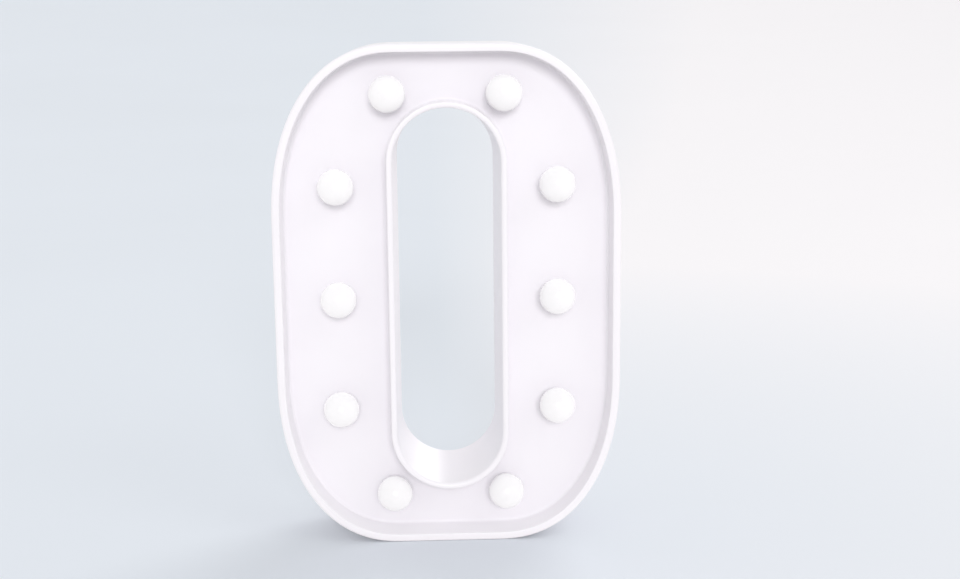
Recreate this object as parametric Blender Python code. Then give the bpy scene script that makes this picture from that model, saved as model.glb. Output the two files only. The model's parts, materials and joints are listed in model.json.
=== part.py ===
"""Battery-powered marquee numeral light with a ring of globe bulbs.

A moulded shell has a recessed tray round a central opening. Hollow globe bulbs snap into the tray, and a
light-emitting diode reaches into each of them from behind. A rear cover closes the shell. It carries the
battery bay with its hinged door, the slide switch and two keyholes for a wall.
Z is up, the front faces -Y, and the origin is the middle of the base that the numeral stands on.
"""
import math

import bmesh
import bpy
from mathutils import Matrix, Vector

MM = 0.001

# Gaps between neighbouring pieces
FIT = 0.3 * MM
OVERRUN = 2 * MM
WELD = 0.001 * MM

# Numeral outline: straight sides and ends joined by superellipse corners
WIDTH = 150.6 * MM
HEIGHT = 220 * MM
FLAT_HALF = 22.4 * MM
SIDE_HALF = 34 * MM
CORNER_POWER = 2.22
ROUND_POWER = 2
CORNER_STEPS = 10

# Strokes round the central opening, a stadium that narrows towards the back
SIDE_STROKE = 51.9 * MM
END_STROKE = 26.85 * MM
COUNTER_DRAFT = 1.55 * MM

# Shell walls, rims and tray
OUTER_RIM = 3.5 * MM
COUNTER_RIM = 2.4 * MM
RIM_OUTER_ROUND = 1.3 * MM
RIM_INNER_ROUND = 0.5 * MM
ROUND_STEPS = 3
EDGE_STEPS = 2
TRAY_DEPTH = 14 * MM
TRAY_DRAFT = 0.3 * MM
TRAY_FILLET = 1.2 * MM
TRAY_FLOOR = 2 * MM
SHELL_WALL = 2.3 * MM
REAR_LIP = 1.2 * MM

# Bulbs: a globe on a stem, with a foot on the tray and a beaded neck through it
BULB_RADIUS = 7.9 * MM
BULB_WALL = 1 * MM
BULB_STEM = 1.5 * MM
NECK_WALL = 1.4 * MM
WAIST_STEP = 0.3 * MM
FOOT_STEP = 1.2 * MM
FOOT_HEIGHT = 0.7 * MM
BEAD_STEP = 0.7 * MM
BEAD_HEIGHT = 1 * MM
BULB_SIDES = 14
GLOBE_STEPS = 6
HOLLOW_STEPS = 3
END_BULB_SPACING = 50 * MM
END_BULB_INSET = 21.2 * MM
SIDE_BULB_INSET = 27.4 * MM
SIDE_BULB_SHARE = 0.556

# Diodes
DIODE_RADIUS = 2.5 * MM
DIODE_LENGTH = 8.6 * MM
FLANGE_STEP = 0.4 * MM
FLANGE_HEIGHT = 1 * MM
DIODE_SIDES = 10
DOME_STEPS = 3
LEAD_SIZE = 0.5 * MM
LEAD_SPREAD = 1.27 * MM
LEAD_LENGTH = 4 * MM

# Wiring
WIRE_RADIUS = 0.6 * MM
WIRE_STUB = 2.5 * MM
BOW_SHARE = 0.6
SPAN_STEPS = 4

# Rear cover
COVER_THICKNESS = 2 * MM
COVER_EDGE = 0.4 * MM

# Cover screws, their wells in the cover and their bosses in the shell
SCREW_RADIUS = 1.3 * MM
SCREW_LENGTH = 9 * MM
SCREW_TIP = 1.2 * MM
SCREW_HEAD = 2.6 * MM
SCREW_HEAD_HEIGHT = 1.7 * MM
SCREW_SLOT = 0.7 * MM
SCREW_SLOT_DEPTH = 0.9 * MM
SCREW_SIDES = 12
WELL_SIDES = 16
WELL_DEPTH = 5 * MM
WELL_FLOOR = 1.5 * MM
WELL_WALL = 1.3 * MM
BOSS_WALL = 1.9 * MM
PILOT_SPARE = 1 * MM
SIDE_BOSS_INSET = 15.3 * MM
SIDE_BOSS_DROP = 40 * MM
END_BOSS_INSET = 9.5 * MM

# Keyholes
KEYHOLE_HEAD = 4.5 * MM
KEYHOLE_SLOT = 1.9 * MM
KEYHOLE_RISE = 8 * MM
KEYHOLE_SPACING = 68 * MM
KEYHOLE_DROP = 26 * MM
KEYHOLE_STEPS = 12

# Cells, two side by side with opposite ends up
CELL_RADIUS = 7.15 * MM
CELL_LENGTH = 50.5 * MM
CELL_BUTTON = 2.75 * MM
CELL_BUTTON_HEIGHT = 1.2 * MM
CELL_SHOULDER = 0.6 * MM
CELL_SIDES = 16

# Contacts
CONTACT_SHEET = 0.5 * MM
CONTACT_SIZE = 8.4 * MM
CONTACT_TAB = 3 * MM
CONTACT_TAB_REACH = 2 * MM
SPRING_WIRE = 0.35 * MM
SPRING_LENGTH = 5 * MM
SPRING_BASE = 4 * MM
SPRING_TOP = 2.6 * MM
SPRING_TURNS = 3.5
SPRING_TURN_STEPS = 10

# Battery bay and its door
WIRING_SPACE = 2.2 * MM
BAY_WALL = 2 * MM
BAY_FLOOR = 1.5 * MM
BAY_LEDGE = 1.2 * MM
DOOR_THICKNESS = 1.6 * MM
DOOR_SINK = 0.4 * MM
DOOR_FOOT_STEPS = 6
HOOK_WIDTH = 5 * MM
HOOK_THICKNESS = 1.2 * MM
HOOK_REACH = 1.8 * MM
HOOK_ROOT = 1.6 * MM
HOOK_SPACING = 18 * MM
LATCH_WIDTH = 10 * MM
LATCH_LENGTH = 9 * MM
LATCH_SLIT = 0.8 * MM
LATCH_RIB = 0.7 * MM
LATCH_RIB_RISE = 0.3 * MM
LATCH_RIBS = 3

# Slide switch
SWITCH_RISE = 21 * MM
SWITCH_WIDTH = 7 * MM
SWITCH_LENGTH = 17 * MM
SWITCH_DEPTH = 7 * MM
SWITCH_TRAVEL = 4 * MM
SWITCH_WELL = 1.6 * MM
KNOB_WIDTH = 3.4 * MM
KNOB_LENGTH = 4.6 * MM
KNOB_SINK = 0.3 * MM
KNOB_RIB = 0.6 * MM
KNOB_RIB_RISE = 0.4 * MM
KNOB_RIBS = 3
DISH_MARGIN = 2 * MM
DISH_DEPTH = 0.9 * MM
CLIP_THICKNESS = 1.4 * MM
CLIP_WIDTH = 5 * MM
CLIP_LIP = 0.8 * MM
CLIP_LIP_HEIGHT = 1 * MM
LUG_WIDTH = 1.6 * MM
LUG_THICKNESS = 0.5 * MM
LUG_LENGTH = 3 * MM
LUG_SPACING = 4.5 * MM

# Central opening's size at the front
COUNTER_WIDTH = WIDTH - 2 * SIDE_STROKE
COUNTER_HEIGHT = HEIGHT - 2 * END_STROKE

# Bulb's radii and the depth that its globe sinks below the rims
BULB_BORE = DIODE_RADIUS + FIT
BULB_NECK = BULB_BORE + NECK_WALL
BULB_WAIST = BULB_NECK + WAIST_STEP
GLOBE_REACH = math.sqrt(BULB_RADIUS ** 2 - BULB_WAIST ** 2)
BULB_SINK = TRAY_DEPTH - FIT - FOOT_HEIGHT - BULB_STEM - GLOBE_REACH

# Depth, from the front rims through the wiring and the cells to the back
NECK_DEPTH = TRAY_DEPTH + TRAY_FLOOR + 2 * FIT + BEAD_HEIGHT
LEAD_DEPTH = NECK_DEPTH + FIT + FLANGE_HEIGHT + LEAD_LENGTH
BUS_DEPTH = LEAD_DEPTH + FIT + WIRE_RADIUS
BAY_DEPTH = BUS_DEPTH + WIRE_RADIUS + WIRING_SPACE + BAY_FLOOR
DEPTH = BAY_DEPTH + FIT + 2 * CELL_RADIUS + FIT + DOOR_THICKNESS + DOOR_SINK

# Places from front to back, with the whole depth centred on the origin
FRONT_Y = (BULB_RADIUS - BULB_SINK - DEPTH) / 2
BACK_Y = FRONT_Y + DEPTH
TRAY_Y = FRONT_Y + TRAY_DEPTH
TRAY_REAR_Y = TRAY_Y + TRAY_FLOOR
BULB_Y = FRONT_Y + BULB_SINK
NECK_END_Y = FRONT_Y + NECK_DEPTH
DIODE_Y = NECK_END_Y + FIT
BUS_Y = FRONT_Y + BUS_DEPTH
COVER_Y = BACK_Y - COVER_THICKNESS
WELL_Y = BACK_Y - WELL_DEPTH
BOSS_END_Y = WELL_Y - FIT
DOOR_OUTER_Y = BACK_Y - DOOR_SINK
DOOR_INNER_Y = DOOR_OUTER_Y - DOOR_THICKNESS
LEDGE_Y = DOOR_INNER_Y - FIT
CELL_Y = LEDGE_Y - CELL_RADIUS
BAY_FLOOR_Y = FRONT_Y + BAY_DEPTH

# Places across and up the numeral
MIDDLE_Z = HEIGHT / 2
END_BULB_Z = HEIGHT / 2 - END_BULB_INSET
BAY_X = (WIDTH / 2 + COUNTER_WIDTH / 2 - COUNTER_DRAFT) / 2
BAY_WIDTH = 4 * CELL_RADIUS + 3 * FIT
BAY_LENGTH = CELL_LENGTH + SPRING_LENGTH + 2 * CONTACT_SHEET + 5 * FIT
BAY_BOTTOM = MIDDLE_Z - BAY_LENGTH / 2
BAY_TOP = MIDDLE_Z + BAY_LENGTH / 2
SWITCH_Z = BAY_TOP + SWITCH_RISE
HINGE_Y = DOOR_OUTER_Y - DOOR_THICKNESS / 2
HINGE_Z = BAY_BOTTOM - BAY_LEDGE + DOOR_THICKNESS / 2
CELL_SPACING = CELL_RADIUS + FIT / 2
INNER_CELL_X = BAY_X - CELL_SPACING
OUTER_CELL_X = BAY_X + CELL_SPACING
SWITCH_FACE_Y = COVER_Y - FIT
SWITCH_REAR_Y = SWITCH_FACE_Y - SWITCH_DEPTH


def clear_scene():
    for old in list(bpy.data.objects):
        bpy.data.objects.remove(old)


def plastic(name, colour, roughness, metallic=0.0, transmission=0.0):
    """One Principled material for a piece."""
    material = bpy.data.materials.new(name)
    material.use_nodes = True
    shader = material.node_tree.nodes["Principled BSDF"]
    shader.inputs["Base Color"].default_value = (*colour, 1.0)
    shader.inputs["Roughness"].default_value = roughness
    shader.inputs["Metallic"].default_value = metallic
    shader.inputs["Transmission Weight"].default_value = transmission
    material.diffuse_color = (*colour, 1.0)
    return material


def new_object(name, bm):
    """Turns a bmesh into an object of the scene."""
    mesh = bpy.data.meshes.new(name)
    bm.to_mesh(mesh)
    bm.free()
    made = bpy.data.objects.new(name, mesh)
    bpy.context.scene.collection.objects.link(made)
    return made


def loft(name, rings, closed):
    """Skins equal rings of points; a closed run also joins its last ring to its first."""
    bm = bmesh.new()
    loops = [[bm.verts.new(point) for point in ring] for ring in rings]
    following = loops[1:] + loops[:1] if closed else loops[1:]
    for near, far in zip(loops, following):
        for index in range(len(near)):
            after = (index + 1) % len(near)
            bm.faces.new((near[index], near[after], far[after], far[index]))
    bmesh.ops.remove_doubles(bm, verts=bm.verts, dist=WELD)
    bmesh.ops.recalc_face_normals(bm, faces=bm.faces)
    return new_object(name, bm)


def bend(across, along, radius, start, end, steps):
    """Points of an arc in a section, from a start angle to an end angle in degrees."""
    angles = [math.radians(start + (end - start) * step / steps) for step in range(steps + 1)]
    return [(across + radius * math.cos(angle), along + radius * math.sin(angle)) for angle in angles]


def turned(name, profile, sides, closed=False):
    """Turns a profile of (radius, y) points about the Y axis."""
    rings = []
    for radius, y in profile:
        turns = [2 * math.pi * side / sides for side in range(sides)]
        rings.append([(radius * math.cos(turn), y, radius * math.sin(turn)) for turn in turns])
    return loft(name, rings, closed)


def shift(piece, x, y, z):
    piece.data.transform(Matrix.Translation((x, y, z)))
    return piece


def rod(radius, start_y, end_y, x, z, sides):
    """A plain round bar along Y, for a boss or a hole."""
    bar = turned("rod", [(0, start_y), (radius, start_y), (radius, end_y), (0, end_y)], sides)
    return shift(bar, x, 0, z)


def prism(outline, start_y, end_y):
    """A bar along Y; the whole of its outline of (x, z) points can be seen from the axis."""
    sections = ((0, start_y), (1, start_y), (1, end_y), (0, end_y))
    rings = [[(size * x, y, size * z) for x, z in outline] for size, y in sections]
    return loft("prism", rings, closed=False)


def block(x_range, y_range, z_range):
    """A plain box between three pairs of limits."""
    bm = bmesh.new()
    bmesh.ops.create_cube(bm, size=1)
    lengths = [high - low for low, high in (x_range, y_range, z_range)]
    middles = [(low + high) / 2 for low, high in (x_range, y_range, z_range)]
    bmesh.ops.scale(bm, vec=lengths, verts=bm.verts)
    bmesh.ops.translate(bm, vec=middles, verts=bm.verts)
    return new_object("block", bm)


def around(middle, size):
    """Limits of a length centred on a middle."""
    return (middle - size / 2, middle + size / 2)


def weld(mesh):
    """Closes the hairline seams that a cut can leave."""
    bm = bmesh.new()
    bm.from_mesh(mesh)
    bmesh.ops.remove_doubles(bm, verts=bm.verts, dist=WELD)
    bmesh.ops.dissolve_degenerate(bm, edges=bm.edges, dist=WELD)
    bmesh.ops.holes_fill(bm, edges=[edge for edge in bm.edges if edge.is_boundary])
    bm.to_mesh(mesh)
    bm.free()


def combine(target, tool, operation):
    """Joins a tool to a target, or cuts it away, and uses the tool up."""
    modifier = target.modifiers.new(operation, "BOOLEAN")
    modifier.operation = operation
    modifier.solver = "EXACT"
    modifier.object = tool
    graph = bpy.context.evaluated_depsgraph_get()
    shaped = bpy.data.meshes.new_from_object(target.evaluated_get(graph))
    target.modifiers.clear()
    target.data = shaped
    bpy.data.objects.remove(tool)
    weld(shaped)


def add(target, tool):
    combine(target, tool, "UNION")


def cut(target, tool):
    combine(target, tool, "DIFFERENCE")


def finish(piece, name, material, sharp_angle=35):
    """Names a piece, gives it its one material and shades its round faces smooth."""
    piece.name = name
    piece.data.name = name
    piece.data.materials.clear()
    piece.data.materials.append(material)
    for face in piece.data.polygons:
        face.material_index = 0
    piece.data.shade_smooth()
    piece.data.set_sharp_from_angle(angle=math.radians(sharp_angle))
    return piece


def set_origin(piece, point):
    """Moves a piece's origin without moving the piece."""
    piece.data.transform(Matrix.Translation(-Vector(point)))
    piece.location = point


def smooth_run(points, steps):
    """Points along a smooth curve through the given ones, bowed alike on long and short spans."""
    reach = [points[0]] + points + [points[-1]]
    headings = [(after - before).normalized() for before, after in zip(reach, reach[2:])]
    run = []
    for index in range(len(points) - 1):
        start, end = points[index], points[index + 1]
        length = BOW_SHARE * (end - start).length
        leave, arrive = length * headings[index], length * headings[index + 1]
        for step in range(steps):
            share = step / steps
            run.append((1 - share) ** 2 * ((1 + 2 * share) * start + share * leave)
                       + share ** 2 * ((3 - 2 * share) * end - (1 - share) * arrive))
    return run + [points[-1]]


def tube(name, points, radius, material, resolution=1):
    """A round wire along points."""
    curve = bpy.data.curves.new(name, "CURVE")
    curve.dimensions = "3D"
    curve.bevel_depth = radius
    curve.bevel_resolution = resolution
    curve.use_fill_caps = True
    spline = curve.splines.new("POLY")
    spline.points.add(len(points) - 1)
    for place, point in zip(spline.points, points):
        place.co = (*point, 1)
    curve.materials.append(material)
    made = bpy.data.objects.new(name, curve)
    bpy.context.scene.collection.objects.link(made)
    return made


def ring_points(half_width, half_height, flat_half, side_half, power):
    """One closed outline: four corners between straight sides and flat ends."""
    quarter = []
    for step in range(CORNER_STEPS + 1):
        angle = math.pi / 2 * step / CORNER_STEPS
        quarter.append((flat_half + (half_width - flat_half) * abs(math.cos(angle)) ** (2 / power),
                        side_half + (half_height - side_half) * math.sin(angle) ** (2 / power)))
    upper = quarter + [(-x, z) for x, z in reversed(quarter)]
    return upper + [(-x, -z) for x, z in upper]


def outer_ring(inset, y):
    """The numeral's outline, drawn in by an inset."""
    points = ring_points(WIDTH / 2 - inset, HEIGHT / 2 - inset, FLAT_HALF, SIDE_HALF, CORNER_POWER)
    return [(x, y, MIDDLE_Z + z) for x, z in points]


def counter_ring(offset, y):
    """The central opening's outline, widened by an offset; its draft follows the depth."""
    grown = offset - COUNTER_DRAFT * (y - FRONT_Y) / DEPTH
    straight = (COUNTER_HEIGHT - COUNTER_WIDTH) / 2
    points = ring_points(COUNTER_WIDTH / 2 + grown, COUNTER_HEIGHT / 2 + grown, 0, straight, ROUND_POWER)
    return [(x, y, MIDDLE_Z + z) for x, z in points]


def rim_section(rim):
    """A rim's section from its outer face, over the front edge and down to the tray floor."""
    foot = rim + TRAY_DRAFT
    return (bend(RIM_OUTER_ROUND, FRONT_Y + RIM_OUTER_ROUND, RIM_OUTER_ROUND, 180, 270, ROUND_STEPS)
            + bend(rim - RIM_INNER_ROUND, FRONT_Y + RIM_INNER_ROUND, RIM_INNER_ROUND, 270, 360, EDGE_STEPS)
            + bend(foot + TRAY_FILLET, TRAY_Y - TRAY_FILLET, TRAY_FILLET, 180, 90, EDGE_STEPS))


def rear_section():
    """A wall's section behind the tray: its inner face, the ledge for the cover and the thin lip."""
    ledge = COVER_Y - FIT
    inside = [(SHELL_WALL, TRAY_REAR_Y), (SHELL_WALL, ledge)]
    return inside + [(REAR_LIP, ledge), (REAR_LIP, BACK_Y), (0, BACK_Y)]


def bulb_places():
    """Centres of the bulbs in order round the numeral, from the upper right one over the top."""
    side_x, side_z = WIDTH / 2 - SIDE_BULB_INSET, SIDE_BULB_SHARE * END_BULB_Z
    end_x, end_z = END_BULB_SPACING / 2, END_BULB_Z
    upper_left = [(side_x, side_z), (end_x, end_z), (-end_x, end_z), (-side_x, side_z), (-side_x, 0)]
    lower_right = [(-side_x, -side_z), (-end_x, -end_z), (end_x, -end_z), (side_x, -side_z), (side_x, 0)]
    return [Vector((x, 0, MIDDLE_Z + z)) for x, z in upper_left + lower_right]


def boss_places():
    """Centres of the cover screws."""
    side_x, side_z = WIDTH / 2 - SIDE_BOSS_INSET, HEIGHT / 2 - SIDE_BOSS_DROP
    end_z = HEIGHT / 2 - END_BOSS_INSET
    corners = [(x, z) for x in (-side_x, side_x) for z in (-side_z, side_z)]
    return [(x, MIDDLE_Z + z) for x, z in corners + [(0, -end_z), (0, end_z)]]


def make_front_shell(material):
    front = [outer_ring(inset, y) for inset, y in rim_section(OUTER_RIM)]
    front += [counter_ring(offset, y) for offset, y in reversed(rim_section(COUNTER_RIM))]
    rear = [counter_ring(offset, y) for offset, y in reversed(rear_section())]
    rear += [outer_ring(inset, y) for inset, y in rear_section()]
    shell = loft("front_shell", front + rear, closed=True)
    for place in bulb_places():
        hole = rod(BULB_NECK + FIT, TRAY_Y - OVERRUN, TRAY_REAR_Y + OVERRUN, place.x, place.z, BULB_SIDES)
        cut(shell, hole)
    boss_radius = SCREW_RADIUS + FIT + BOSS_WALL
    pilot_end = BACK_Y - WELL_DEPTH + WELL_FLOOR - SCREW_LENGTH - PILOT_SPARE
    for x, z in boss_places():
        add(shell, rod(boss_radius, TRAY_REAR_Y - TRAY_FLOOR / 2, BOSS_END_Y, x, z, SCREW_SIDES))
        cut(shell, rod(SCREW_RADIUS + FIT, pilot_end, BOSS_END_Y + OVERRUN, x, z, SCREW_SIDES))
    return finish(shell, "front_shell", material)


def bulb_profile():
    """Section of a hollow globe with a neck that is open at the back; y runs from the globe's centre."""
    foot = BULB_NECK + FOOT_STEP
    foot_y = TRAY_Y - FIT - BULB_Y
    rear_y = TRAY_REAR_Y + FIT - BULB_Y
    end_y = NECK_END_Y - BULB_Y
    globe_end = math.degrees(math.acos(BULB_WAIST / BULB_RADIUS))
    hollow = BULB_RADIUS - BULB_WALL
    hollow_end = math.degrees(math.acos(BULB_BORE / hollow))
    return (bend(0, 0, BULB_RADIUS, -90, globe_end, GLOBE_STEPS)
            + [(foot, foot_y - FOOT_HEIGHT), (foot, foot_y), (BULB_NECK, foot_y)]
            + [(BULB_NECK, rear_y), (BULB_NECK + BEAD_STEP, rear_y), (BULB_NECK, end_y), (BULB_BORE, end_y)]
            + bend(0, 0, hollow, hollow_end, -90, HOLLOW_STEPS))


def make_bulbs(material):
    """Globe bulbs that share one mesh."""
    first = None
    for number, place in enumerate(bulb_places(), start=1):
        name = f"bulb_{number:02d}"
        if first is None:
            bulb = first = finish(turned(name, bulb_profile(), BULB_SIDES), name, material)
        else:
            bulb = bpy.data.objects.new(name, first.data)
            bpy.context.scene.collection.objects.link(bulb)
        bulb.location = (place.x, BULB_Y, place.z)


def make_diode_mesh(material):
    """A domed diode with a flange and two leads; y runs from the flange's front."""
    barrel = DIODE_RADIUS - DIODE_LENGTH + FLANGE_HEIGHT
    flange = DIODE_RADIUS + FLANGE_STEP
    profile = bend(0, barrel, DIODE_RADIUS, -90, 0, DOME_STEPS)
    profile += [(DIODE_RADIUS, 0), (flange, 0), (flange, FLANGE_HEIGHT), (0, FLANGE_HEIGHT)]
    diode = turned("diode", profile, DIODE_SIDES)
    lead_y = (FLANGE_HEIGHT / 2, FLANGE_HEIGHT + LEAD_LENGTH)
    for x in (-LEAD_SPREAD, LEAD_SPREAD):
        add(diode, block(around(x, LEAD_SIZE), lead_y, around(0, LEAD_SIZE)))
    return finish(diode, "diode", material)


def path_normals(places):
    """Outward directions across the path round the numeral, one at each bulb."""
    normals = []
    for index, place in enumerate(places):
        tangent = places[(index + 1) % len(places)] - places[index - 1]
        normals.append(Vector((tangent.z, 0, -tangent.x)).normalized())
    return normals


def make_diodes(material):
    places = bulb_places()
    pattern = make_diode_mesh(material)
    for number, (place, normal) in enumerate(zip(places, path_normals(places)), start=1):
        diode = bpy.data.objects.new(f"led_{number:02d}", pattern.data)
        bpy.context.scene.collection.objects.link(diode)
        diode.location = (place.x, DIODE_Y, place.z)
        diode.rotation_euler = (0, math.atan2(-normal.z, normal.x), 0)
    bpy.data.objects.remove(pattern)


def bus_points(side):
    """Places of one wire under the leads on one side of the path, with a stub before the first."""
    places = bulb_places()
    leads = [place + side * LEAD_SPREAD * normal for place, normal in zip(places, path_normals(places))]
    for lead in leads:
        lead.y = BUS_Y
    stub = leads[0] - WIRE_STUB * (leads[1] - leads[0]).normalized()
    return [stub] + leads


def make_wiring(red, black):
    """The two wires that feed every diode, and the leads from the cells and the switch."""
    live, ground = bus_points(1), bus_points(-1)
    tube("wire_bus_positive", smooth_run(live, SPAN_STEPS), WIRE_RADIUS, red)
    tube("wire_bus_negative", smooth_run(ground, SPAN_STEPS), WIRE_RADIUS, black)

    lug_y = SWITCH_REAR_Y - LUG_LENGTH - FIT
    upper_lug = Vector((BAY_X, lug_y, SWITCH_Z + LUG_SPACING))
    middle_lug = Vector((BAY_X, lug_y, SWITCH_Z))
    tab_y = BAY_FLOOR_Y - BAY_FLOOR - CONTACT_TAB_REACH - FIT
    tab_z = BAY_TOP - FIT - CONTACT_SHEET / 2
    inner_tab = Vector((INNER_CELL_X, tab_y, tab_z))
    outer_tab = Vector((OUTER_CELL_X, tab_y, tab_z))
    down = Vector((0, -1, 0))

    live_end = live[0] - FIT * (live[1] - live[0]).normalized()
    live_back = (live[0] - live[1]).normalized()
    route = [upper_lug, upper_lug + WIRE_STUB * down, live_end + WIRE_STUB * (live_back - down), live_end]
    tube("wire_switch_to_string", smooth_run(route, SPAN_STEPS), WIRE_RADIUS, red)

    rise = Vector((0, 0, WIRE_STUB))
    route = [inner_tab, inner_tab + WIRE_STUB / 2 * down + rise,
             middle_lug + WIRE_STUB * down - 2 * rise, middle_lug + WIRE_STUB / 2 * down, middle_lug]
    tube("wire_battery_to_switch", smooth_run(route, SPAN_STEPS), WIRE_RADIUS, red)

    ground_end = ground[0] - FIT * (ground[1] - ground[0]).normalized()
    ground_back = (ground[0] - ground[1]).normalized()
    route = [outer_tab, outer_tab + WIRE_STUB / 2 * down + rise,
             ground_end + 2 * WIRE_STUB * ground_back, ground_end]
    tube("wire_battery_return", smooth_run(route, SPAN_STEPS), WIRE_RADIUS, black)


def make_screws(material):
    """Pan-head screws that share one mesh; y runs from under the head."""
    profile = [(0, -SCREW_LENGTH), (SCREW_RADIUS / 2, -SCREW_LENGTH)]
    profile += [(SCREW_RADIUS, SCREW_TIP - SCREW_LENGTH)]
    profile += [(SCREW_RADIUS, 0), (SCREW_HEAD, 0), (SCREW_HEAD, SCREW_HEAD_HEIGHT / 2)]
    profile += [(SCREW_HEAD - SCREW_HEAD_HEIGHT / 2, SCREW_HEAD_HEIGHT), (0, SCREW_HEAD_HEIGHT)]
    pattern = turned("screw", profile, SCREW_SIDES)
    slot_y = (SCREW_HEAD_HEIGHT - SCREW_SLOT_DEPTH, SCREW_HEAD_HEIGHT + OVERRUN)
    slot_length = 2 * (SCREW_HEAD - SCREW_HEAD_HEIGHT / 2)
    cross = block(around(0, slot_length), slot_y, around(0, SCREW_SLOT))
    add(cross, block(around(0, SCREW_SLOT), slot_y, around(0, slot_length)))
    cut(pattern, cross)
    finish(pattern, "screw", material)
    for number, (x, z) in enumerate(boss_places(), start=1):
        screw = bpy.data.objects.new(f"cover_screw_{number}", pattern.data)
        bpy.context.scene.collection.objects.link(screw)
        screw.location = (x, WELL_Y + WELL_FLOOR + FIT, z)
    bpy.data.objects.remove(pattern)


def cover_plate():
    """The plate inside the shell's rear lips, with a small chamfer round its outer face."""
    edge = REAR_LIP + FIT
    section = [(edge, COVER_Y), (edge, BACK_Y - COVER_EDGE), (edge + COVER_EDGE, BACK_Y)]
    rings = [outer_ring(inset, y) for inset, y in section]
    rings += [counter_ring(offset, y) for offset, y in reversed(section)]
    return loft("back_cover", rings, closed=True)


def door_limits(clearance):
    """Door's width and length limits, widened all round by a clearance."""
    x_low, x_high = around(BAY_X, BAY_WIDTH + 2 * BAY_LEDGE)
    return (x_low - clearance, x_high + clearance), (BAY_BOTTOM - BAY_LEDGE - clearance,
                                                     BAY_TOP + BAY_LEDGE + clearance)


def hook_places():
    return (BAY_X - HOOK_SPACING / 2, BAY_X + HOOK_SPACING / 2)


def bay_box():
    """The bay's outer box, notched where the door's hooks swing."""
    outer_x = around(BAY_X, BAY_WIDTH + 2 * BAY_WALL)
    outer_z = (BAY_BOTTOM - BAY_WALL, BAY_TOP + BAY_WALL)
    box = block(outer_x, (BAY_FLOOR_Y - BAY_FLOOR, BACK_Y - COVER_THICKNESS / 2), outer_z)
    swing = DOOR_THICKNESS / 2 + FIT + HOOK_REACH + HOOK_THICKNESS + FIT
    for x in hook_places():
        notch_y = (HINGE_Y - swing, BACK_Y + OVERRUN)
        cut(box, block(around(x, HOOK_WIDTH + 2 * FIT), notch_y, (HINGE_Z - swing, HINGE_Z + swing)))
    return box


def cut_bay(cover):
    """Hollows the bay, its door recess and the slits for the contacts' tabs."""
    door_x, door_z = door_limits(FIT)
    cut(cover, block(door_x, (LEDGE_Y, BACK_Y + OVERRUN), door_z))
    cut(cover, block(around(BAY_X, BAY_WIDTH), (BAY_FLOOR_Y, BACK_Y + OVERRUN), (BAY_BOTTOM, BAY_TOP)))
    slit_y = (BAY_FLOOR_Y - BAY_FLOOR - OVERRUN, BAY_FLOOR_Y + OVERRUN)
    for x in (INNER_CELL_X, OUTER_CELL_X):
        slit_z = (BAY_TOP - 2 * FIT - CONTACT_SHEET, BAY_TOP + FIT)
        cut(cover, block(around(x, CONTACT_TAB + 2 * FIT), slit_y, slit_z))


def add_switch_seat(cover):
    """The dish and window for the knob, and two clips that hold the switch from inside."""
    window_z = around(SWITCH_Z, KNOB_LENGTH + SWITCH_TRAVEL + 2 * FIT)
    window_x = around(BAY_X, KNOB_WIDTH + 2 * FIT)
    for side in (-1, 1):
        inner = SWITCH_Z + side * (SWITCH_LENGTH / 2 + FIT)
        outer = inner + side * CLIP_THICKNESS
        hook_y = SWITCH_REAR_Y - FIT
        post_z = (min(inner, outer), max(inner, outer))
        lip_z = (min(inner - side * CLIP_LIP, outer), max(inner - side * CLIP_LIP, outer))
        post_y = (hook_y - CLIP_LIP_HEIGHT, BACK_Y - COVER_THICKNESS / 2)
        clip = block(around(BAY_X, CLIP_WIDTH), post_y, post_z)
        add(clip, block(around(BAY_X, CLIP_WIDTH), (hook_y - CLIP_LIP_HEIGHT, hook_y), lip_z))
        add(cover, clip)
    dish_z = (window_z[0] - DISH_MARGIN, window_z[1] + DISH_MARGIN)
    dish_x = (window_x[0] - DISH_MARGIN, window_x[1] + DISH_MARGIN)
    cut(cover, block(dish_x, (BACK_Y - DISH_DEPTH, BACK_Y + OVERRUN), dish_z))
    cut(cover, block(window_x, (COVER_Y - OVERRUN, BACK_Y + OVERRUN), window_z))


def cut_keyholes(cover):
    """A round hole for a screw's head under a narrow slot for its shank, on each side."""
    mouth = math.degrees(math.asin(KEYHOLE_SLOT / KEYHOLE_HEAD))
    outline = bend(0, 0, KEYHOLE_HEAD, mouth - 270, 90 - mouth, KEYHOLE_STEPS)
    outline += bend(0, KEYHOLE_RISE, KEYHOLE_SLOT, 0, 180, KEYHOLE_STEPS)
    for x in (-KEYHOLE_SPACING / 2, KEYHOLE_SPACING / 2):
        keyhole = prism(outline, COVER_Y - OVERRUN, BACK_Y + OVERRUN)
        cut(cover, shift(keyhole, x, 0, HEIGHT - KEYHOLE_DROP))


def make_back_cover(material):
    cover = cover_plate()
    well_bore = SCREW_HEAD + FIT
    for x, z in boss_places():
        add(cover, rod(well_bore + WELL_WALL, WELL_Y, BACK_Y - COVER_THICKNESS / 2, x, z, WELL_SIDES))
        cut(cover, rod(well_bore, WELL_Y + WELL_FLOOR, BACK_Y + OVERRUN, x, z, WELL_SIDES))
        cut(cover, rod(SCREW_RADIUS + FIT, WELL_Y - OVERRUN, BACK_Y + OVERRUN, x, z, SCREW_SIDES))
    add(cover, bay_box())
    cut_bay(cover)
    add_switch_seat(cover)
    cut_keyholes(cover)
    return finish(cover, "back_cover", material)


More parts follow.
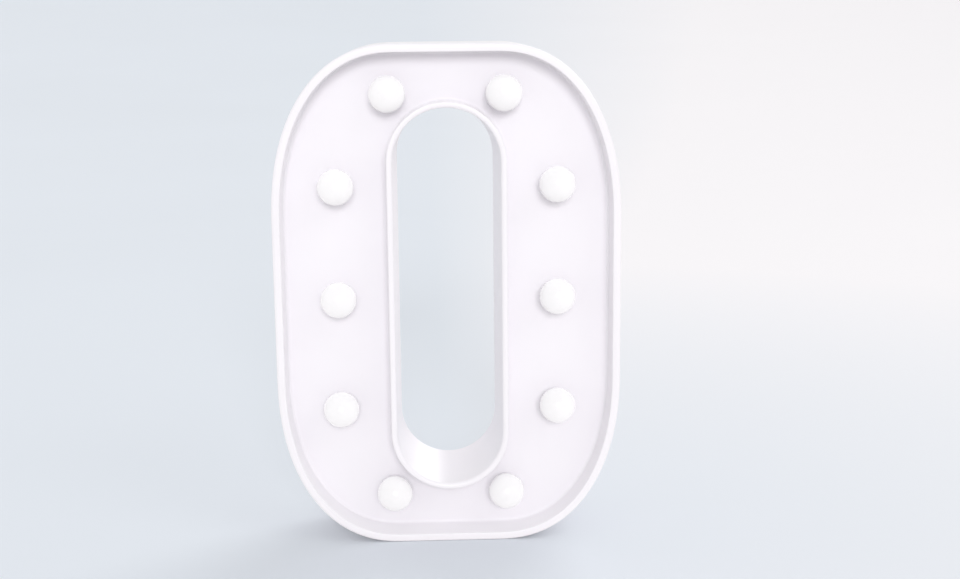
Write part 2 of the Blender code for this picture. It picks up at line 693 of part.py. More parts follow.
def make_battery_door(material):
    """A snap-in door: hooks under the cover at its foot, and a sprung latch tongue at its head."""
    door_x, door_z = door_limits(0)
    half, head = DOOR_THICKNESS / 2, door_z[1] - HINGE_Z
    foot = bend(0, 0, half, 180, 360, DOOR_FOOT_STEPS)
    door = prism([(half, head), (-half, head)] + foot, *door_x)
    turn = Matrix.Rotation(-math.pi / 2, 4, "Z")
    door.data.transform(turn)
    shift(door, 0, HINGE_Y, HINGE_Z)

    hook_y = COVER_Y - FIT - HOOK_THICKNESS / 2
    inner, root, tip = HOOK_THICKNESS / 2, HOOK_ROOT / 2, half + FIT + HOOK_REACH + HOOK_ROOT / 2
    elbow = [(inner, root), (hook_y - HINGE_Y, root), (hook_y - HINGE_Y, -root), (-inner, -root)]
    for x in hook_places():
        hook = prism(elbow + [(-inner, -tip), (inner, -tip)], *around(x, HOOK_WIDTH))
        hook.data.transform(turn)
        add(door, shift(hook, 0, hook_y, HINGE_Z + root))

    through = (DOOR_INNER_Y - OVERRUN, DOOR_OUTER_Y + OVERRUN)
    slit_z = (door_z[1] - LATCH_LENGTH, door_z[1] + OVERRUN)
    for side in (-1, 1):
        slit_x = BAY_X + side * (LATCH_WIDTH + LATCH_SLIT) / 2
        cut(door, block(around(slit_x, LATCH_SLIT), through, slit_z))
    for rib in range(LATCH_RIBS):
        rib_z = door_z[1] - (rib + 1) * LATCH_LENGTH / (LATCH_RIBS + 2)
        rib_x = around(BAY_X, LATCH_WIDTH - 2 * LATCH_RIB)
        rib_y = (HINGE_Y, DOOR_OUTER_Y + LATCH_RIB_RISE)
        add(door, block(rib_x, rib_y, around(rib_z, LATCH_RIB)))
    finish(door, "battery_door", material)
    set_origin(door, (BAY_X, HINGE_Y, HINGE_Z))


def make_cells(material):
    """Two cells, one with its button up and one with its button down."""
    body_end = CELL_LENGTH - CELL_BUTTON_HEIGHT
    profile = [(0, 0), (CELL_RADIUS - CELL_SHOULDER, 0), (CELL_RADIUS, CELL_SHOULDER)]
    profile += [(CELL_RADIUS, body_end - CELL_SHOULDER), (CELL_RADIUS - CELL_SHOULDER, body_end)]
    profile += [(CELL_BUTTON, body_end), (CELL_BUTTON, CELL_LENGTH), (0, CELL_LENGTH)]
    pattern = finish(turned("cell", profile, CELL_SIDES), "cell", material)
    button_gap = 2 * FIT + CONTACT_SHEET
    for name, x, button, turn in (("battery_cell_inner", INNER_CELL_X, BAY_TOP - button_gap, 1),
                                  ("battery_cell_outer", OUTER_CELL_X, BAY_BOTTOM + button_gap, -1)):
        cell = bpy.data.objects.new(name, pattern.data)
        bpy.context.scene.collection.objects.link(cell)
        cell.rotation_euler = (turn * math.pi / 2, 0, 0)
        cell.location = (x, CELL_Y, button - turn * CELL_LENGTH)
    bpy.data.objects.remove(pattern)


def contact_sheet(x_range, z_range):
    return block(x_range, around(CELL_Y, CONTACT_SIZE), z_range)


def make_contacts(material):
    """The two end contacts with solder tabs, the bridge and the two coil springs."""
    top_z = (BAY_TOP - FIT - CONTACT_SHEET, BAY_TOP - FIT)
    bottom_z = (BAY_BOTTOM + FIT, BAY_BOTTOM + FIT + CONTACT_SHEET)
    tab_y = (BAY_FLOOR_Y - BAY_FLOOR - CONTACT_TAB_REACH, CELL_Y)
    for name, x in (("contact_positive", INNER_CELL_X), ("contact_negative", OUTER_CELL_X)):
        contact = contact_sheet(around(x, CONTACT_SIZE), top_z)
        add(contact, block(around(x, CONTACT_TAB), tab_y, top_z))
        finish(contact, name, material)
    bridge = contact_sheet(around(BAY_X, 2 * CELL_SPACING + CONTACT_SIZE), bottom_z)
    finish(bridge, "contact_bridge", material)
    make_spring("spring_negative", OUTER_CELL_X, top_z[0] - FIT, -1, material)
    make_spring("spring_bridge", INNER_CELL_X, bottom_z[1] + FIT, 1, material)


def make_spring(name, x, base_z, direction, material):
    """A conical coil from a contact towards a cell's flat end."""
    rise = SPRING_LENGTH - 2 * FIT - 2 * SPRING_WIRE
    count = round(SPRING_TURNS * SPRING_TURN_STEPS)
    points = []
    for index in range(count + 1):
        share = index / count
        angle = 2 * math.pi * SPRING_TURNS * share
        radius = SPRING_BASE + (SPRING_TOP - SPRING_BASE) * share
        z = base_z + direction * (SPRING_WIRE + rise * share)
        points.append(Vector((x + radius * math.cos(angle), CELL_Y + radius * math.sin(angle), z)))
    tube(name, points, SPRING_WIRE, material, resolution=0)


def make_switch(housing_material, knob_material):
    """The slide switch behind the cover and its ribbed knob in the window."""
    well_z = around(SWITCH_Z, KNOB_LENGTH + SWITCH_TRAVEL + 2 * FIT)
    housing_y = (SWITCH_REAR_Y, SWITCH_FACE_Y)
    housing = block(around(BAY_X, SWITCH_WIDTH), housing_y, around(SWITCH_Z, SWITCH_LENGTH))
    well_x = around(BAY_X, KNOB_WIDTH + 2 * FIT)
    cut(housing, block(well_x, (SWITCH_FACE_Y - SWITCH_WELL, SWITCH_FACE_Y + OVERRUN), well_z))
    for step in (-1, 0, 1):
        lug_z = around(SWITCH_Z + step * LUG_SPACING, LUG_THICKNESS)
        lug_y = (SWITCH_REAR_Y - LUG_LENGTH, SWITCH_FACE_Y - SWITCH_DEPTH / 2)
        add(housing, block(around(BAY_X, LUG_WIDTH), lug_y, lug_z))
    finish(housing, "switch_housing", housing_material)

    knob_z = well_z[0] + FIT
    knob_top = BACK_Y - KNOB_SINK - KNOB_RIB_RISE
    knob_y = (SWITCH_FACE_Y - SWITCH_WELL + FIT, knob_top)
    knob = block(around(BAY_X, KNOB_WIDTH), knob_y, (knob_z, knob_z + KNOB_LENGTH))
    for rib in range(KNOB_RIBS):
        rib_z = knob_z + (rib + 0.5) * KNOB_LENGTH / KNOB_RIBS
        rib_y = (SWITCH_FACE_Y, knob_top + KNOB_RIB_RISE)
        add(knob, block(around(BAY_X, KNOB_WIDTH - KNOB_RIB), rib_y, around(rib_z, KNOB_RIB)))
    finish(knob, "switch_knob", knob_material)
    set_origin(knob, (BAY_X, SWITCH_FACE_Y, knob_z + KNOB_LENGTH / 2))


def main():
    clear_scene()
    shell_white = plastic("shell_white", (0.93, 0.92, 0.94), 0.28)
    cover_white = plastic("cover_white", (0.90, 0.89, 0.91), 0.42)
    milky = plastic("bulb_milky", (0.95, 0.94, 0.94), 0.30, transmission=0.15)
    lens = plastic("diode_lens", (0.93, 0.87, 0.62), 0.15, transmission=0.6)
    red = plastic("wire_red", (0.55, 0.03, 0.03), 0.45)
    black = plastic("wire_black", (0.02, 0.02, 0.02), 0.45)
    steel = plastic("contact_steel", (0.62, 0.62, 0.60), 0.30, metallic=1.0)
    screw_steel = plastic("screw_steel", (0.50, 0.50, 0.50), 0.35, metallic=1.0)
    cell_jacket = plastic("cell_jacket", (0.12, 0.13, 0.15), 0.35)
    switch_black = plastic("switch_black", (0.03, 0.03, 0.03), 0.40)
    make_front_shell(shell_white)
    make_bulbs(milky)
    make_diodes(lens)
    make_back_cover(cover_white)
    make_screws(screw_steel)
    make_battery_door(cover_white)
    make_cells(cell_jacket)
    make_contacts(steel)
    make_switch(switch_black, switch_black)
    make_wiring(red, black)


main()
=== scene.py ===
"""Studio scene of a battery-powered marquee numeral light, seen from its front.

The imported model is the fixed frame. Finer pieces stand in its places, and each rides on its body.
Z is up, the front faces -Y, and the numeral stands on the floor at z = 0.
"""
import json
import math

import bmesh
import bpy
from mathutils import Matrix, Vector


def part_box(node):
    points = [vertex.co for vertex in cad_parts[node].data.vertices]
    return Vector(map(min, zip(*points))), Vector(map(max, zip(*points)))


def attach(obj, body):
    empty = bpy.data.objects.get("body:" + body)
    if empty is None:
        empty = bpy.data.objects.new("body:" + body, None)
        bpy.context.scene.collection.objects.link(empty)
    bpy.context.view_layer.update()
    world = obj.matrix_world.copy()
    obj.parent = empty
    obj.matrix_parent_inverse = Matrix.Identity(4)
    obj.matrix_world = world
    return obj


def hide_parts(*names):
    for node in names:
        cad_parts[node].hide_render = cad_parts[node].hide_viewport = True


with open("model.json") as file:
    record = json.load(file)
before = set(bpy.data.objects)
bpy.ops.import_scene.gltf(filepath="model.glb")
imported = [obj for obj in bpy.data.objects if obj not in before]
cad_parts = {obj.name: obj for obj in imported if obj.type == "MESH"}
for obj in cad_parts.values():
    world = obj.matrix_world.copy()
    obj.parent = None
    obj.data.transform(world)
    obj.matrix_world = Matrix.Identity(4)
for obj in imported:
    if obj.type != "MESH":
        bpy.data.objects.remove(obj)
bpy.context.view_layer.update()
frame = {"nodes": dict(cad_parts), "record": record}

MM = 0.001

# The gap between pieces, how far a tool reaches past what it cuts, and how near points become one
FIT = 0.3 * MM
OVERRUN = 2 * MM
WELD = 0.0005 * MM

# Steps and sides of the round forms
CORNER_STEPS = 36
ROUND_STEPS = 8
EDGE_STEPS = 4
GLOBE_STEPS = 32
HOLLOW_STEPS = 16
DOOR_STEPS = 16
SCOOP_STEPS = 128
KEYHOLE_STEPS = 40
KEYHOLE_SLOT_STEPS = 20
MARK_STEPS = 4
WIRE_STEPS = 3
SIDES = 64
SMALL_SIDES = 40
LARGE_SIDES = 128

# Width of the flat strip beside a rounded edge, and the angle in degrees from which an edge is sharp
SUPPORT = 0.25 * MM
SHARP_ANGLE = 32

# Shell: outline, central opening (the counter), rims, tray and walls
SHELL_LOW, SHELL_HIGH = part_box("front_shell")
WIDTH = SHELL_HIGH.x - SHELL_LOW.x
HEIGHT = SHELL_HIGH.z - SHELL_LOW.z
FRONT_Y, BACK_Y = SHELL_LOW.y, SHELL_HIGH.y
DEPTH = BACK_Y - FRONT_Y
MIDDLE_Z = (SHELL_LOW.z + SHELL_HIGH.z) / 2
FLAT_HALF = 22.4 * MM
SIDE_HALF = 34 * MM
CORNER_POWER = 2.22
ROUND_POWER = 2
COUNTER_WIDTH = 46.8 * MM
COUNTER_HEIGHT = 166.3 * MM
COUNTER_DRAFT = 1.55 * MM
OUTER_RIM = 3.5 * MM
COUNTER_RIM = 2.4 * MM
RIM_OUTER_ROUND = 1.3 * MM
RIM_INNER_ROUND = 0.5 * MM
TRAY_DEPTH = 14 * MM
TRAY_DRAFT = 0.3 * MM
TRAY_FILLET = 1.2 * MM
TRAY_FLOOR = 2 * MM
SHELL_WALL = 2.3 * MM
REAR_LIP = 1.2 * MM
LIP_ROUND = 0.25 * MM
TRAY_Y = FRONT_Y + TRAY_DEPTH
TRAY_REAR_Y = TRAY_Y + TRAY_FLOOR
SHELL_COLOUR = (0.940, 0.920, 0.953)

# Bulbs
BULB_NODES = [f"bulb_{number:02d}" for number in range(1, 11)]
BULB_LOW, BULB_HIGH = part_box(BULB_NODES[0])
BULB_RADIUS = (BULB_HIGH.x - BULB_LOW.x) / 2
BULB_Y = BULB_LOW.y + BULB_RADIUS
BULB_WALL = 1 * MM
BULB_BORE = 2.8 * MM
BULB_NECK = 4.2 * MM
BULB_WAIST = 4.5 * MM
FOOT_RADIUS = 5.4 * MM
FOOT_HEIGHT = 0.7 * MM
FOOT_ROUND = 0.3 * MM
BEAD_STEP = 0.7 * MM
BULB_COLOUR = (0.95, 0.943, 0.953)

# Rear cover, screws, their wells in the cover and their bosses in the shell
COVER_THICKNESS = 2 * MM
COVER_Y = BACK_Y - COVER_THICKNESS
COVER_MIDDLE_Y = BACK_Y - COVER_THICKNESS / 2
COVER_EDGE = 0.4 * MM
EASE = 0.3 * MM
SCREW_NODES = [f"cover_screw_{number}" for number in range(1, 7)]
SCREW_RADIUS = 1.3 * MM
SCREW_HEAD = 2.6 * MM
SCREW_HEAD_HEIGHT = 1.7 * MM
SCREW_LENGTH = 9 * MM
SCREW_TIP = 1.2 * MM
SCREW_POINT = SCREW_RADIUS / 3
SCREW_SLOT = 0.7 * MM
SCREW_SLOT_DEPTH = 0.9 * MM
SCREW_SLOT_TAPER = 0.7
WELL_DEPTH = 5 * MM
WELL_FLOOR = 1.5 * MM
WELL_WALL = 1.3 * MM
WELL_Y = BACK_Y - WELL_DEPTH
BOSS_WALL = 1.9 * MM
BOSS_ROOT_Y = TRAY_REAR_Y - TRAY_FLOOR / 2
BOSS_END_Y = WELL_Y - FIT

# Keyholes
KEYHOLE_HEAD = 4.5 * MM
KEYHOLE_SLOT = 1.9 * MM
KEYHOLE_RISE = 8 * MM
KEYHOLE_SPACING = 68 * MM
KEYHOLE_DROP = 26 * MM

# Cells and springs
CELL_LOW, CELL_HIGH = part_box("battery_cell_inner")
CELL_RADIUS = (CELL_HIGH.x - CELL_LOW.x) / 2
CELL_LENGTH = CELL_HIGH.z - CELL_LOW.z
CELL_Y = (CELL_LOW.y + CELL_HIGH.y) / 2
CELL_BUTTON = 2.75 * MM
CELL_BUTTON_HEIGHT = 1.2 * MM
CELL_BUTTON_ROUND = CELL_BUTTON_HEIGHT / 3
CELL_SHOULDER = 0.6 * MM
CELL_RING = 4.4 * MM
JACKET_STEP = 0.15 * MM
JACKET_LIP = 1.1 * MM
JACKET_BAND = 9 * MM
JACKET_BAND_EDGE = 0.1 * MM
JACKET_BAND_COLOUR = (0.50, 0.51, 0.53)
SPRING_WIRE = 0.35 * MM
SPRING_BASE = 4 * MM
SPRING_TOP = 2.6 * MM
SPRING_TURNS = 3.5
SPRING_TURN_STEPS = 24

# Corner radius of a rib and its narrowing at the crest, as shares of its width
RIB_CORNER = 1 / 3
RIB_TAPER = 1 / 5

# Battery bay and its door
DOOR_LOW, DOOR_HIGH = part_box("battery_door")
BAY_X = (DOOR_LOW.x + DOOR_HIGH.x) / 2
BAY_LEDGE = 1.2 * MM
BAY_WALL = 2 * MM
BAY_FLOOR = 1.5 * MM
BAY_WIDTH = DOOR_HIGH.x - DOOR_LOW.x - 2 * BAY_LEDGE
BAY_TOP = DOOR_HIGH.z - BAY_LEDGE
BAY_BOTTOM = 2 * MIDDLE_Z - BAY_TOP
BAY_FLOOR_Y = CELL_LOW.y - FIT
DOOR_THICKNESS = 1.6 * MM
DOOR_SINK = 0.4 * MM
DOOR_CORNER = 1.2 * MM
DOOR_OUTER_Y = BACK_Y - DOOR_SINK
DOOR_INNER_Y = DOOR_OUTER_Y - DOOR_THICKNESS
LEDGE_Y = DOOR_INNER_Y - FIT
HINGE_Y = DOOR_OUTER_Y - DOOR_THICKNESS / 2
HINGE_Z = BAY_BOTTOM - BAY_LEDGE + DOOR_THICKNESS / 2
HOOK_WIDTH = 5 * MM
HOOK_THICKNESS = 1.2 * MM
HOOK_REACH = 1.8 * MM
HOOK_ROOT = 1.6 * MM
HOOK_SPACING = 18 * MM
LATCH_WIDTH = 10 * MM
LATCH_LENGTH = 9 * MM
LATCH_SLIT = 0.8 * MM
LATCH_SLIT_CORNER = LATCH_SLIT / 3
LATCH_RIB = 0.7 * MM
LATCH_RIB_RISE = 0.3 * MM
LATCH_RIBS = 3
LATCH_RIB_PITCH = LATCH_LENGTH / (LATCH_RIBS + 2)
SCOOP_REACH = 5 * MM
SCOOP_DEPTH = 0.9 * MM
SCOOP_RADIUS = (SCOOP_REACH ** 2 + SCOOP_DEPTH ** 2) / (2 * SCOOP_DEPTH)
CONTACT_TAB = 3 * MM
CONTACT_SHEET = 0.5 * MM

# Slide switch and its marks
KNOB_LOW, KNOB_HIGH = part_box("switch_knob")
KNOB_LENGTH = KNOB_HIGH.z - KNOB_LOW.z
KNOB_WIDTH = KNOB_HIGH.x - KNOB_LOW.x
SWITCH_TRAVEL = 4 * MM
SWITCH_Z = (KNOB_LOW.z + KNOB_HIGH.z + SWITCH_TRAVEL) / 2
DISH_MARGIN = 2 * MM
DISH_DEPTH = 0.9 * MM
DISH_CORNER = 1.5 * MM
WINDOW_CORNER = 0.4 * MM
KNOB_ROUND = 0.22 * MM
KNOB_CORNER = 2 * KNOB_ROUND
KNOB_RIB = 0.6 * MM
KNOB_RIB_RISE = 0.4 * MM
KNOB_RIB_CREST = KNOB_RIB / 4
KNOB_RIBS = 3
KNOB_RIB_PITCH = KNOB_LENGTH / KNOB_RIBS
MARK_SIZE = 4.4 * MM
MARK_DEPTH = 0.6 * MM
MARK_GAP = 3.6 * MM
MARK_SWELL = 0.08 * MM

# Noise values between which colour and gloss change, and the share by which the gloss does
NOISE_SPAN = (0.3, 0.7)
GLOSS_SHARE = 0.1

# Detail of the noise behind colour and behind relief, and the relief's height at full strength
CLOUD_DETAIL = 3
GRAIN_DETAIL = 2
RELIEF_DISTANCE = 0.1 * MM

# Floor: a pale dish, flat near the numeral and rising far out on every side; in metres
FLOOR_FLAT = 1.0
FLOOR_RADIUS = 9.0
FLOOR_RISE = 1.7
FLOOR_STEPS = 32

# The floor's colour on the left, in painted shade, and on the right, in painted light, and where one turns
# into the other: over a span of the direction's share towards +X, and over a span of distances
FLOOR_PAINTED_SHADE_LEFT = (0.81, 0.855, 0.915)
FLOOR_PAINTED_LIGHT_RIGHT = (1.0, 0.98, 1.0)
FLOOR_TURN = (0.0, 0.22)
FLOOR_LIT = (0.05, 0.7)

# The distances over which painted shade darkens the floor far out, how far it darkens it, and the neutral
# colour that lights the object
FLOOR_FAR = (0.5, 6.0)
FLOOR_PAINTED_FAR_SHADE = 0.9
FLOOR_BOUNCE = (0.80, 0.79, 0.79)

# The direction towards each lamp, its angle in degrees and its strength; the strength of the even world
LAMPS = {"front": ((0.05, -1.0, 0.28), 20, 1.22),
         "key": ((1.0, -0.8, 1.0), 30, 0.16),
         "back": ((0.6, 1.0, 0.6), 40, 0.9)}
WORLD_STRENGTH = 0.68

# Camera: focal length and sensor width in millimetres, place in metres and turn in degrees
LENS = 53.36
SENSOR_WIDTH = 36
CAMERA_PLACE = (-0.01002, -0.62634, 0.23203)
CAMERA_TURN = (79.0293, 0.5692, -2.3609)


def link_object(name, data):
    """Puts data into the scene as an object."""
    made = bpy.data.objects.new(name, data)
    bpy.context.scene.collection.objects.link(made)
    return made


def new_object(name, bm):
    """Turns a bmesh into an object of the scene."""
    mesh = bpy.data.meshes.new(name)
    bm.to_mesh(mesh)
    bm.free()
    return link_object(name, mesh)


def loft(name, rings, closed=False, capped=True):
    """Skins equal rings of points. A closed run joins its ends, and an open one can be capped."""
    bm = bmesh.new()
    loops = [[bm.verts.new(point) for point in ring] for ring in rings]
    following = loops[1:] + loops[:1] if closed else loops[1:]
    for near, far in zip(loops, following):
        for index in range(len(near)):
            after = (index + 1) % len(near)
            bm.faces.new((near[index], near[after], far[after], far[index]))
    if capped and not closed:
        bm.faces.new(loops[0])
        bm.faces.new(loops[-1])
    bmesh.ops.remove_doubles(bm, verts=bm.verts, dist=WELD)
    bmesh.ops.dissolve_degenerate(bm, edges=bm.edges, dist=WELD)
    bmesh.ops.recalc_face_normals(bm, faces=bm.faces)
    return new_object(name, bm)


def bend(across, along, radius, start, end, steps):
    """Points of an arc in a section, from a start angle to an end angle in degrees."""
    angles = [math.radians(start + (end - start) * step / steps) for step in range(steps + 1)]
    return [(across + radius * math.cos(angle), along + radius * math.sin(angle)) for angle in angles]


def full_turn(sides):
    """Angles of the sides of a full turn."""
    return [2 * math.pi * side / sides for side in range(sides)]


def turned(name, profile, sides=SIDES, closed=False):
    """Turns a profile of (radius, y) points about the Y axis."""
    turns = full_turn(sides)
    rings = [[(radius * math.cos(turn), y, radius * math.sin(turn)) for turn in turns]
             for radius, y in profile]
    return loft(name, rings, closed)


def shift(piece, x, y, z):
    """Moves a piece's mesh and leaves its origin."""
    piece.data.transform(Matrix.Translation((x, y, z)))
    return piece


def around(middle, size):
    """Limits of a length centred on a middle."""
    return (middle - size / 2, middle + size / 2)


def round_box(x_range, z_range, corner, grow=0.0):
    """Outline of a rectangle with round corners, widened all round."""
    x_low, x_high = x_range[0] - grow, x_range[1] + grow
    z_low, z_high = z_range[0] - grow, z_range[1] + grow
    radius = corner + grow
    return (bend(x_high - radius, z_high - radius, radius, 0, 90, EDGE_STEPS)
            + bend(x_low + radius, z_high - radius, radius, 90, 180, EDGE_STEPS)
            + bend(x_low + radius, z_low + radius, radius, 180, 270, EDGE_STEPS)
            + bend(x_high - radius, z_low + radius, radius, 270, 360, EDGE_STEPS))


def plug(outline_at, sections):
    """A bar along Y through (growth, y) sections of an outline that can be widened."""
    return loft("plug", [[(x, y, z) for x, z in outline_at(grow)] for grow, y in sections])


def box_plug(x_range, z_range, corner, sections):
    """A bar along Y with the section of a rectangle with round corners."""
    return plug(lambda grow: round_box(x_range, z_range, corner, grow), sections)


def cutter(bottom_y):
    """Sections of a hole from its bottom to the rear face, with an eased mouth."""
    return [(0, bottom_y), (0, BACK_Y - EASE), (EASE + OVERRUN, BACK_Y + OVERRUN)]


def join(pieces):
    """Puts the meshes of several pieces into one object."""
    bm = bmesh.new()
    for piece in pieces:
        bm.from_mesh(piece.data)
        bpy.data.objects.remove(piece)
    return new_object("joined", bm)


def combine(target, tool, operation):
    """Joins a tool to a target, or cuts it away, and uses the tool up."""
    modifier = target.modifiers.new(operation, "BOOLEAN")
    modifier.operation = operation
    modifier.solver = "EXACT"
    modifier.object = tool
    graph = bpy.context.evaluated_depsgraph_get()
    shaped = bpy.data.meshes.new_from_object(target.evaluated_get(graph))
    target.modifiers.clear()
    target.data = shaped
    bpy.data.objects.remove(tool)


def add(target, *tools):
    """Joins tools that don't overlap each other to a target."""
    combine(target, join(tools), "UNION")


def cut(target, *tools):
    """Cuts tools that don't overlap each other away from a target."""
    combine(target, join(tools), "DIFFERENCE")


def dress(piece, name, material, body, nodes):
    """Finishes a piece: its name, material, shading, body and the nodes that it stands for."""
    piece.name = name
    piece.data.name = name
    piece.data.materials.clear()
    piece.data.materials.append(material)
    if piece.type == "MESH":
        for face in piece.data.polygons:
            face.material_index = 0
        piece.data.shade_smooth()
        piece.data.set_sharp_from_angle(angle=math.radians(SHARP_ANGLE))
    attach(piece, body)
    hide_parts(*nodes)


def node_middle(node):
    """Middle of a CAD node's box at rest."""
    low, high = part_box(node)
    return (low + high) / 2


def turned_at(nodes, profile, closed=False):
    """One profile turned about an axis through the middle of each node."""
    copies = []
    for node in nodes:
        place = node_middle(node)
        copies.append(shift(turned("turned", profile, SMALL_SIDES, closed), place.x, 0, place.z))
    return copies


def place_copy(pattern, x, y, z):
    """Another object with a pattern's mesh."""
    copy = link_object(pattern.name, pattern.data)
    copy.location = (x, y, z)
    bpy.context.view_layer.update()
    return copy


def ring_points(half_width, half_height, flat_half, side_half, power):
    """One closed outline: four corners between straight sides and flat ends."""
    quarter = []
    for step in range(CORNER_STEPS + 1):
        angle = math.pi / 2 * step / CORNER_STEPS
        quarter.append((flat_half + (half_width - flat_half) * abs(math.cos(angle)) ** (2 / power),
                        side_half + (half_height - side_half) * math.sin(angle) ** (2 / power)))
    upper = quarter + [(-x, z) for x, z in reversed(quarter)]
    return upper + [(-x, -z) for x, z in upper]


def outer_ring(inset, y):
    """The numeral's outline, drawn in by an inset."""
    points = ring_points(WIDTH / 2 - inset, HEIGHT / 2 - inset, FLAT_HALF, SIDE_HALF, CORNER_POWER)
    return [(x, y, MIDDLE_Z + z) for x, z in points]


def counter_ring(offset, y):
    """The central opening's outline, widened by an offset; its draft follows the depth."""
    grown = offset - COUNTER_DRAFT * (y - FRONT_Y) / DEPTH
    straight = (COUNTER_HEIGHT - COUNTER_WIDTH) / 2
    points = ring_points(COUNTER_WIDTH / 2 + grown, COUNTER_HEIGHT / 2 + grown, 0, straight, ROUND_POWER)
    return [(x, y, MIDDLE_Z + z) for x, z in points]


def rim_section(rim):
    """A rim's section from its outer face, over the front edge and down to the tray floor."""
    foot = rim + TRAY_DRAFT
    return ([(0, FRONT_Y + RIM_OUTER_ROUND + SUPPORT)]
            + bend(RIM_OUTER_ROUND, FRONT_Y + RIM_OUTER_ROUND, RIM_OUTER_ROUND, 180, 270, ROUND_STEPS)
            + bend(rim - RIM_INNER_ROUND, FRONT_Y + RIM_INNER_ROUND, RIM_INNER_ROUND, 270, 360, EDGE_STEPS)
            + [(rim, FRONT_Y + RIM_INNER_ROUND + SUPPORT), (foot, TRAY_Y - TRAY_FILLET - SUPPORT)]
            + bend(foot + TRAY_FILLET, TRAY_Y - TRAY_FILLET, TRAY_FILLET, 180, 90, ROUND_STEPS)
            + [(foot + TRAY_FILLET + SUPPORT, TRAY_Y)])


def rear_section():
    """A wall's section behind the tray: its inner face, the ledge for the cover and the thin lip."""
    ledge = COVER_Y - FIT
    inside = [(SHELL_WALL, TRAY_REAR_Y), (SHELL_WALL, ledge), (REAR_LIP, ledge)]
    lip = bend(REAR_LIP - LIP_ROUND, BACK_Y - LIP_ROUND, LIP_ROUND, 0, 90, EDGE_STEPS)
    edge = bend(LIP_ROUND, BACK_Y - LIP_ROUND, LIP_ROUND, 90, 180, EDGE_STEPS)
    return inside + lip + edge + [(0, BACK_Y - LIP_ROUND - SUPPORT)]


def make_shell(material):
    """The shell's skin with the holes for the bulbs, and the screw bosses that root in the tray's floor."""
    front = [outer_ring(inset, y) for inset, y in rim_section(OUTER_RIM)]
    front += [counter_ring(offset, y) for offset, y in reversed(rim_section(COUNTER_RIM))]
    rear = [counter_ring(offset, y) for offset, y in reversed(rear_section())]
    rear += [outer_ring(inset, y) for inset, y in rear_section()]
    shell = loft("shell", front + rear, closed=True)
    hole = [(0, TRAY_Y - OVERRUN), (BULB_NECK + FIT, TRAY_Y - OVERRUN)]
    hole += [(BULB_NECK + FIT, TRAY_REAR_Y + OVERRUN), (0, TRAY_REAR_Y + OVERRUN)]
    cut(shell, *turned_at(BULB_NODES, hole))
    bore = SCREW_RADIUS + FIT
    wall = bore + BOSS_WALL
    tube = [(bore, BOSS_END_Y), (wall, BOSS_END_Y), (wall, BOSS_ROOT_Y), (bore, BOSS_ROOT_Y)]
    shell = join([shell] + turned_at(SCREW_NODES, tube, closed=True))
    dress(shell, "shell_dressed", material, "housing", ["front_shell"])


def bulb_profile():
    """Section of a hollow globe, its stem and foot, and the neck that is open at the back."""
    foot_y = TRAY_Y - FIT - BULB_Y
    rear_y = TRAY_REAR_Y + FIT - BULB_Y
    end_y = BULB_HIGH.y - BULB_Y
    globe_end = math.degrees(math.acos(BULB_WAIST / BULB_RADIUS))
    hollow = BULB_RADIUS - BULB_WALL
    hollow_end = math.degrees(math.acos(BULB_BORE / hollow))
    foot = bend(FOOT_RADIUS - FOOT_ROUND, foot_y - FOOT_HEIGHT + FOOT_ROUND, FOOT_ROUND, -90, 0, EDGE_STEPS)
    stem = bend(BULB_WAIST + FOOT_ROUND, foot_y - FOOT_HEIGHT - FOOT_ROUND, FOOT_ROUND, 180, 90, EDGE_STEPS)
    return (bend(0, 0, BULB_RADIUS, -90, globe_end, GLOBE_STEPS) + stem + foot
            + [(FOOT_RADIUS, foot_y), (BULB_NECK, foot_y), (BULB_NECK, rear_y)]
            + [(BULB_NECK + BEAD_STEP, rear_y), (BULB_NECK, end_y), (BULB_BORE, end_y)]
            + bend(0, 0, hollow, hollow_end, -90, HOLLOW_STEPS))


def make_bulbs(material):
    """Globe bulbs that share one mesh."""
    pattern = turned("bulb", bulb_profile())
    for number, node in enumerate(BULB_NODES, start=1):
        place = node_middle(node)
        bulb = place_copy(pattern, place.x, BULB_Y, place.z)
        dress(bulb, f"globe_{number:02d}", material, "housing", [node])
    bpy.data.objects.remove(pattern)


def make_screws(material):
    """Pan-head screws with a cross recess that share one mesh; y runs from under the head."""
    edge = SCREW_HEAD_HEIGHT / 2
    reach = SCREW_HEAD - edge
    profile = [(0, -SCREW_LENGTH), (SCREW_POINT, -SCREW_LENGTH), (SCREW_RADIUS, SCREW_TIP - SCREW_LENGTH)]
    profile += [(SCREW_RADIUS, 0), (SCREW_HEAD, 0)]
    profile += bend(reach, edge, edge, 0, 90, ROUND_STEPS)
    pattern = turned("screw", profile, SMALL_SIDES)
    bottom, top = SCREW_HEAD_HEIGHT - SCREW_SLOT_DEPTH, SCREW_HEAD_HEIGHT + OVERRUN
    sections = [(SCREW_SLOT_TAPER, bottom), (1, SCREW_HEAD_HEIGHT), (1, top)]
    corners = [(1, 1), (-1, 1), (-1, -1), (1, -1)]
    for length, width in ((reach, SCREW_SLOT / 2), (SCREW_SLOT / 2, reach)):
        rings = [[(size * length * x, y, size * width * z) for x, z in corners] for size, y in sections]
        cut(pattern, loft("slot", rings))
    for number, node in enumerate(SCREW_NODES, start=1):
        place = node_middle(node)
        screw = place_copy(pattern, place.x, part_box(node)[1].y - SCREW_HEAD_HEIGHT, place.z)
        dress(screw, f"screw_{number}", material, "housing", [node])
    bpy.data.objects.remove(pattern)


def hook_places():
    """Middles of the door's two hooks across."""
    return around(BAY_X, HOOK_SPACING)


